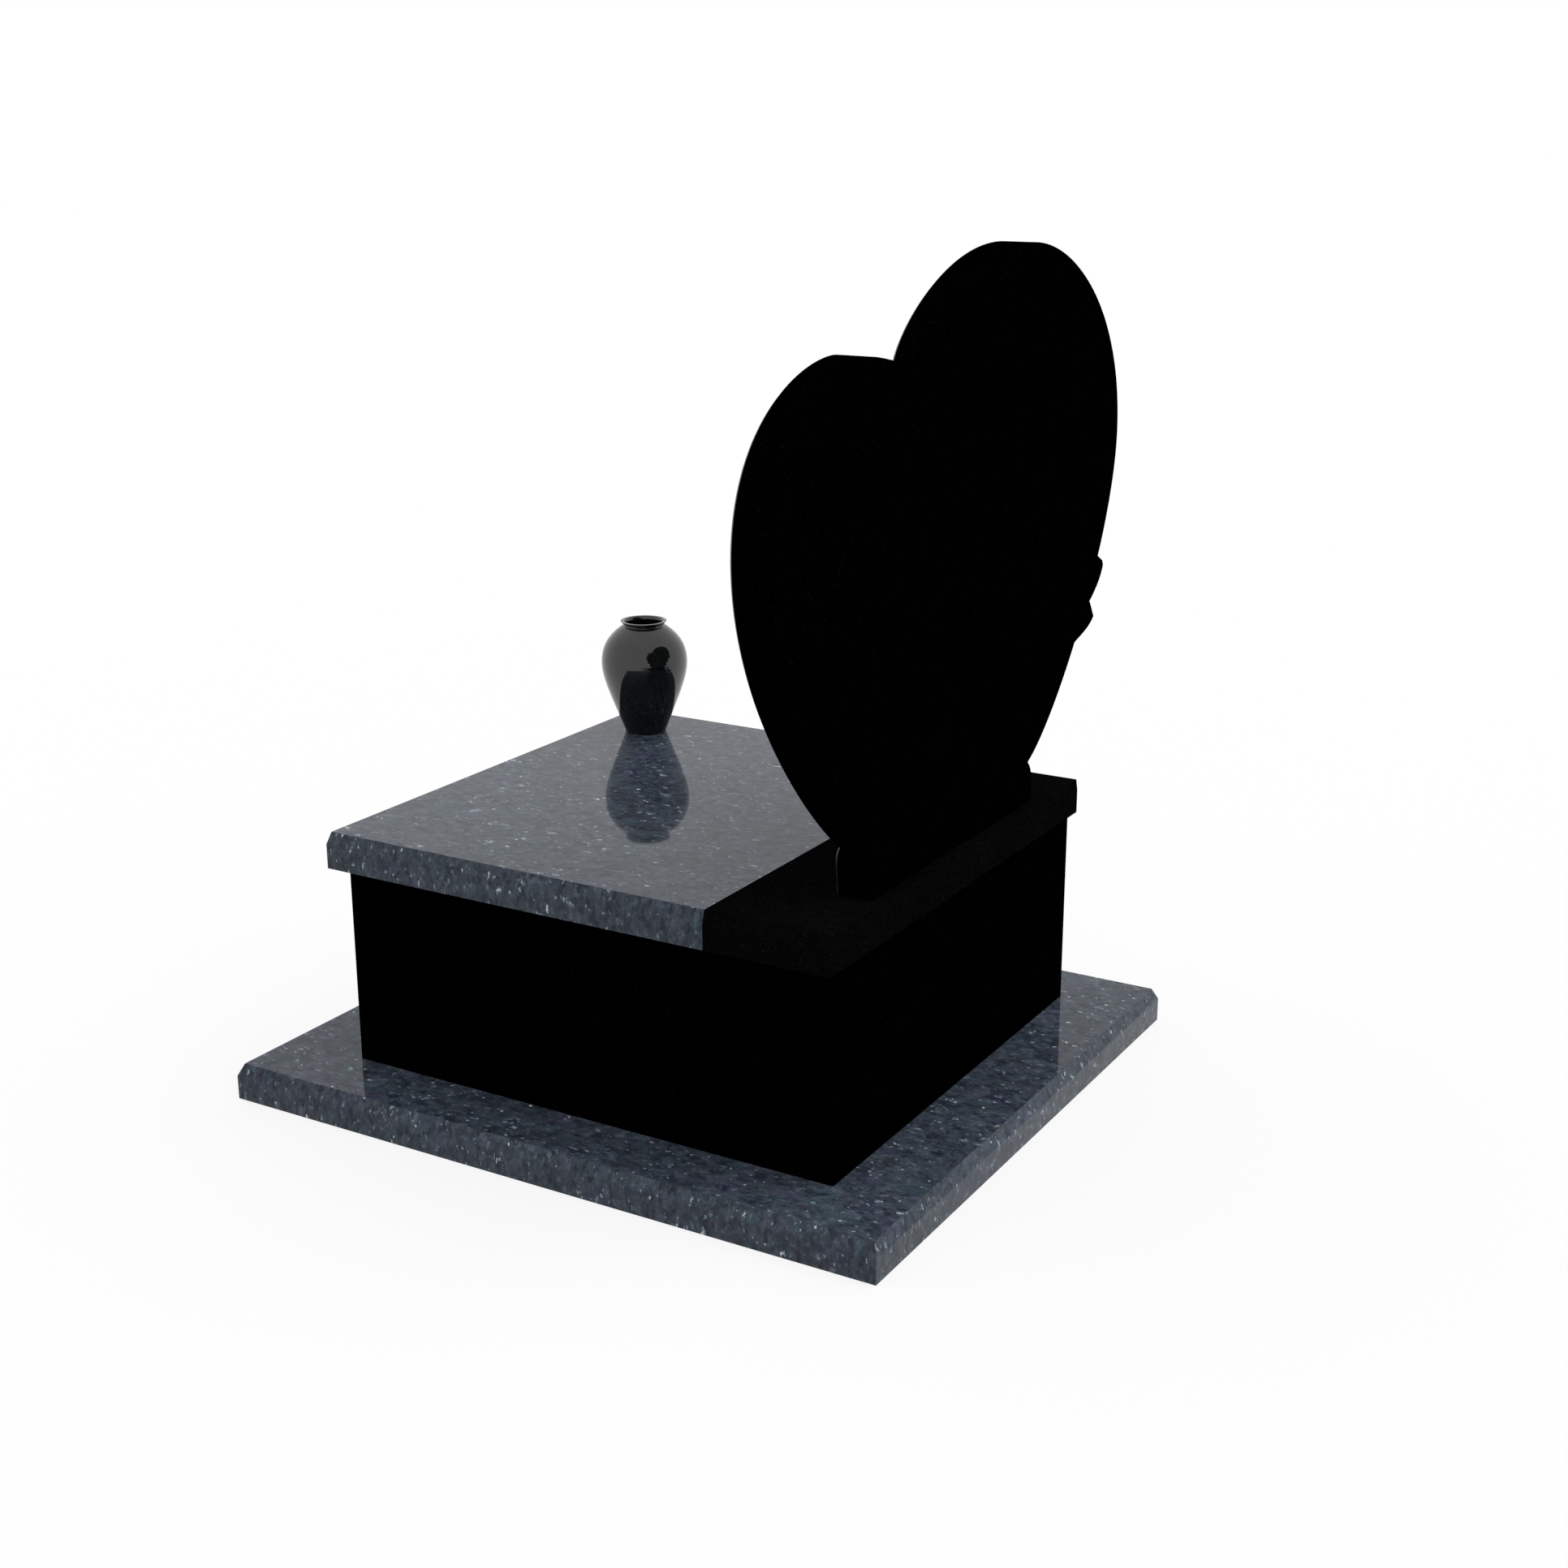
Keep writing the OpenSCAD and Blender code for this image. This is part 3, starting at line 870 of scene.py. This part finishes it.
outer_line = curve_through(outside, 3)
inner_line = curve_through(inside, 3)
floor_z = min(inside[-1].y, foot_z + VASE_FLOOR)
line = [Vector((0.0, foot_z + FOOT_HOLLOW)),
        Vector((outside[0].x - FOOT_RIM - 1.0 * MM, foot_z + FOOT_HOLLOW)),
        Vector((outside[0].x - FOOT_RIM, foot_z))]
line += rounded_over(Vector((0.0, foot_z)), outside[0], outer_line[2], FOOT_ROUND)
line += outer_line[2:-2]
line += rounded_over(outer_line[-3], outer_line[-1], inner_line[0], LIP_OUTSIDE_ROUND)
line += rounded_over(outer_line[-1], inner_line[0], inner_line[2], LIP_INSIDE_ROUND)
line += inner_line[2:]
line.append(Vector((0.0, floor_z)))

profile_curve = bpy.data.curves.new("vase_profile", "CURVE")
profile_curve.dimensions = "3D"
spline = profile_curve.splines.new("POLY")
spline.points.add(len(line) - 1)
for point, p in zip(spline.points, line):
    point.co = (p.x, -p.y, 0.0, 1.0)
profile_object = bpy.data.objects.new("vase_profile", profile_curve)
bpy.context.scene.collection.objects.link(profile_object)


def lathe_tree(material):
    """A Geometry Nodes tree that turns a profile into a pot."""
    tree = bpy.data.node_groups.new("throw_on_a_wheel", "GeometryNodeTree")
    tree.interface.new_socket("Profile", in_out="INPUT", socket_type="NodeSocketGeometry")
    tree.interface.new_socket("Sides round", in_out="INPUT", socket_type="NodeSocketInt")
    tree.interface.new_socket("Axis", in_out="INPUT", socket_type="NodeSocketVector")
    tree.interface.new_socket("Pot", in_out="OUTPUT", socket_type="NodeSocketGeometry")
    given = add_node(tree, "NodeGroupInput")
    axle = add_node(tree, "GeometryNodeCurvePrimitiveCircle", {"mode": "RADIUS"},
                    Resolution=given.outputs["Sides round"], Radius=0.001 * MM)
    swept = add_node(tree, "GeometryNodeCurveToMesh", Curve=axle.outputs["Curve"],
                     Profile_Curve=given.outputs["Profile"])
    closed = add_node(tree, "GeometryNodeMergeByDistance", Geometry=swept.outputs["Mesh"],
                      Distance=0.02 * MM)
    moved = add_node(tree, "GeometryNodeTransform", Geometry=closed.outputs["Geometry"],
                     Translation=given.outputs["Axis"])
    smooth = add_node(tree, "GeometryNodeSetShadeSmooth", Geometry=moved.outputs["Geometry"])
    real = add_node(tree, "GeometryNodeRealizeInstances", Geometry=smooth.outputs["Geometry"])
    glazed = add_node(tree, "GeometryNodeSetMaterial", Geometry=real.outputs["Geometry"],
                      Material=material)
    add_node(tree, "NodeGroupOutput", Pot=glazed.outputs["Geometry"])
    return tree


# %% [markdown]
# ## The glaze
#
# The vase is dark stoneware under a thick black gloss glaze. A glaze is a glass
# with a higher IOR than window glass, so it mirrors the pale surroundings
# strongly. Iron in it leaves faint brown freckles, and it ripples very slightly
# as it runs, so its highlights aren't ruler-straight.

# %% Black gloss glaze
GLAZE_CLOUD = 22 * MM
FRECKLE = 2.4 * MM
RIPPLE = 14 * MM
GLAZE_IOR = 1.62


def gloss_glaze():
    material, tree, shader = new_material("black_gloss_glaze")
    place = add_node(tree, "ShaderNodeTexCoord").outputs["Object"]
    about_axis = add_node(tree, "ShaderNodeMapping", {"vector_type": "POINT"}, Vector=place,
                          Location=(-vase_axis.x, -vase_axis.y, -foot_z)).outputs[0]
    clouds = add_node(tree, "ShaderNodeTexNoise", Vector=about_axis, Scale=1 / GLAZE_CLOUD,
                      Detail=3.0)
    body = ramp(tree, clouds.outputs["Fac"], [(0.3, "#090b0d"), (0.7, "#14171a")])
    freckles = add_node(tree, "ShaderNodeTexVoronoi", Vector=about_axis, Scale=1 / FRECKLE)
    pick = add_node(tree, "ShaderNodeSeparateColor", Color=freckles.outputs["Color"])
    rare = add_node(tree, "ShaderNodeMapRange", Value=pick.outputs["Red"],
                    From_Min=0.93, From_Max=0.99, To_Max=0.5)
    colour = add_node(tree, "ShaderNodeMix", {"data_type": "RGBA"},
                      i0=rare.outputs[0], i6=body, i7=linear("#2a2019"))
    tree.links.new(colour.outputs[2], shader.inputs["Base Color"])
    ripple = add_node(tree, "ShaderNodeTexNoise", Vector=about_axis, Scale=1 / RIPPLE, Detail=1.0)
    bump = add_node(tree, "ShaderNodeBump", Strength=0.10, Distance=0.4 * MM,
                    Height=ripple.outputs["Fac"])
    tree.links.new(bump.outputs[0], shader.inputs["Normal"])
    rub = add_node(tree, "ShaderNodeMapRange", Value=clouds.outputs["Fac"],
                   To_Min=0.02, To_Max=0.06)
    tree.links.new(rub.outputs[0], shader.inputs["Roughness"])
    shader.inputs["IOR"].default_value = GLAZE_IOR
    return material


glaze = gloss_glaze()
vase_pot = made_plain(
    profile_object, lathe_tree(glaze),
    {"Sides round": VASE_SIDES, "Axis": (vase_axis.x, vase_axis.y, 0.0)}, "vase_pot")
work = bmesh.new()
work.from_mesh(vase_pot.data)
bmesh.ops.recalc_face_normals(work, faces=work.faces)
work.to_mesh(vase_pot.data)
open_edges = sum(1 for e in work.edges if not e.is_manifold)
work.free()
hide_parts("vase")
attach(vase_pot, "root")
print("vase:", len(vase_pot.data.polygons), "faces,", open_edges, "open edges, z",
      round(min(v.co.z for v in vase_pot.data.vertices), 4),
      round(max(v.co.z for v in vase_pot.data.vertices), 4))


# %% [markdown]
# ## Floor, sky and lamp
#
# The stone stands on a plain pale floor under an even white sky, so a colour
# renders about as it is written. The camera and mirror-like surfaces see the
# sky as pure white. The floor is a matt surface; what it lacks of white is made
# up for those same rays, so that it meets the sky without a line, and it still
# keeps the stone's soft shadow. For the rays that light the stone it is twice as
# pale, because real ground sends light up under every edge. One broad, weak lamp
# stands high behind the stone, so the back edges are a little lighter than the
# sides.

# %% Floor
FLOOR_SEEN = 0.18
FLOOR_BOUNCE = 0.36
FLOOR_RADIUS = 40.0
FLOOR_DROP = 0.3 * MM   # The floor lies a hair under the base, so that the two don't fight.


def seen_directly(tree):
    """1 for rays from the camera, off a mirror or through glass, and 0 for all others."""
    path = add_node(tree, "ShaderNodeLightPath")
    seen = add_node(tree, "ShaderNodeMath", {"operation": "MAXIMUM"},
                    i0=path.outputs["Is Camera Ray"], i1=path.outputs["Is Glossy Ray"])
    return add_node(tree, "ShaderNodeMath", {"operation": "MAXIMUM"},
                    i0=seen.outputs[0], i1=path.outputs["Is Transmission Ray"]).outputs[0]


def floor_material():
    material = bpy.data.materials.new("pale_floor")
    material.use_nodes = True
    tree = material.node_tree
    tree.nodes.clear()
    seen = seen_directly(tree)
    lift = add_node(tree, "ShaderNodeMath", {"operation": "MULTIPLY"}, i0=seen, i1=1.0 - FLOOR_SEEN)
    tone = add_node(tree, "ShaderNodeMapRange", Value=seen, To_Min=FLOOR_BOUNCE, To_Max=FLOOR_SEEN)
    matt = add_node(tree, "ShaderNodeBsdfDiffuse", Color=tone.outputs[0])
    glow = add_node(tree, "ShaderNodeEmission", Color=(1, 1, 1, 1), Strength=lift.outputs[0])
    both = add_node(tree, "ShaderNodeAddShader", i0=matt.outputs[0], i1=glow.outputs[0])
    add_node(tree, "ShaderNodeOutputMaterial", Surface=both.outputs[0])
    return material


work = bmesh.new()
bmesh.ops.create_circle(work, cap_ends=True, segments=96, radius=FLOOR_RADIUS)
mesh = bpy.data.meshes.new("floor")
work.to_mesh(mesh)
work.free()
mesh.materials.append(floor_material())
floor = bpy.data.objects.new("floor", mesh)
floor.location.z = cad_low.z - FLOOR_DROP
bpy.context.scene.collection.objects.link(floor)
print("floor:", FLOOR_RADIUS * 2, "m across, seen tone", FLOOR_SEEN, "bounce tone", FLOOR_BOUNCE)


# %% Sky and lamp
LAMP_LIGHT = 0.80
LAMP_WIDTH = math.radians(50)
LAMP_AIM = Vector((0.30, -0.64, -0.80)).normalized()
# The sky and the lamp together light a level surface as a plain white sky would.
SKY_LIGHT = 1.0 - LAMP_LIGHT * -LAMP_AIM.z / math.pi
world = bpy.data.worlds.new("even_sky")
world.use_nodes = True
tree = world.node_tree
tree.nodes.clear()
strength = add_node(tree, "ShaderNodeMapRange", Value=seen_directly(tree),
                    To_Min=SKY_LIGHT, To_Max=1.0)
sky = add_node(tree, "ShaderNodeBackground", Color=(1, 1, 1, 1), Strength=strength.outputs[0])
add_node(tree, "ShaderNodeOutputWorld", Surface=sky.outputs[0])
bpy.context.scene.world = world

lamp_data = bpy.data.lights.new("broad_lamp", "SUN")
lamp_data.angle = LAMP_WIDTH
lamp_data.energy = LAMP_LIGHT
lamp = bpy.data.objects.new("broad_lamp", lamp_data)
lamp.rotation_euler = LAMP_AIM.to_track_quat("-Z", "Y").to_euler()
lamp.visible_glossy = False
bpy.context.scene.collection.objects.link(lamp)
print("sky", round(SKY_LIGHT, 3), "lamp", LAMP_LIGHT)


# %% [markdown]
# ## Camera
#
# A long view over the low lobe's back corner, from a standing person's eye
# height. The level lines of the slabs run away to both sides, which shows the
# depth of the kerb and the whole back of the heart.

# %% Camera
CAMERA_PLACE = Vector((2.8446, 1.8043, 1.5249))
YAW, PITCH, ROLL = (math.radians(a) for a in (59.56, 17.186, -0.104))
SENSOR, LENS = 36.0, 49.77   # Millimetres.
ahead = Vector((-math.sin(YAW) * math.cos(PITCH), -math.cos(YAW) * math.cos(PITCH),
                -math.sin(PITCH)))
level_right = ahead.cross(Vector((0, 0, 1))).normalized()
level_up = level_right.cross(ahead)
right = level_right * math.cos(ROLL) + level_up * math.sin(ROLL)
up = level_up * math.cos(ROLL) - level_right * math.sin(ROLL)
camera_data = bpy.data.cameras.new("camera")
camera_data.sensor_width = SENSOR
camera_data.lens = LENS
camera = bpy.data.objects.new("camera", camera_data)
turn = Matrix((right, up, -ahead)).transposed().to_4x4()
camera.matrix_world = Matrix.Translation(CAMERA_PLACE) @ turn
bpy.context.scene.collection.objects.link(camera)
bpy.context.scene.camera = camera
bpy.context.scene.view_settings.view_transform = "Standard"
stone_middle = (cad_low + cad_high) / 2
print("camera", round((CAMERA_PLACE - stone_middle).length, 2), "m from the stone's middle")
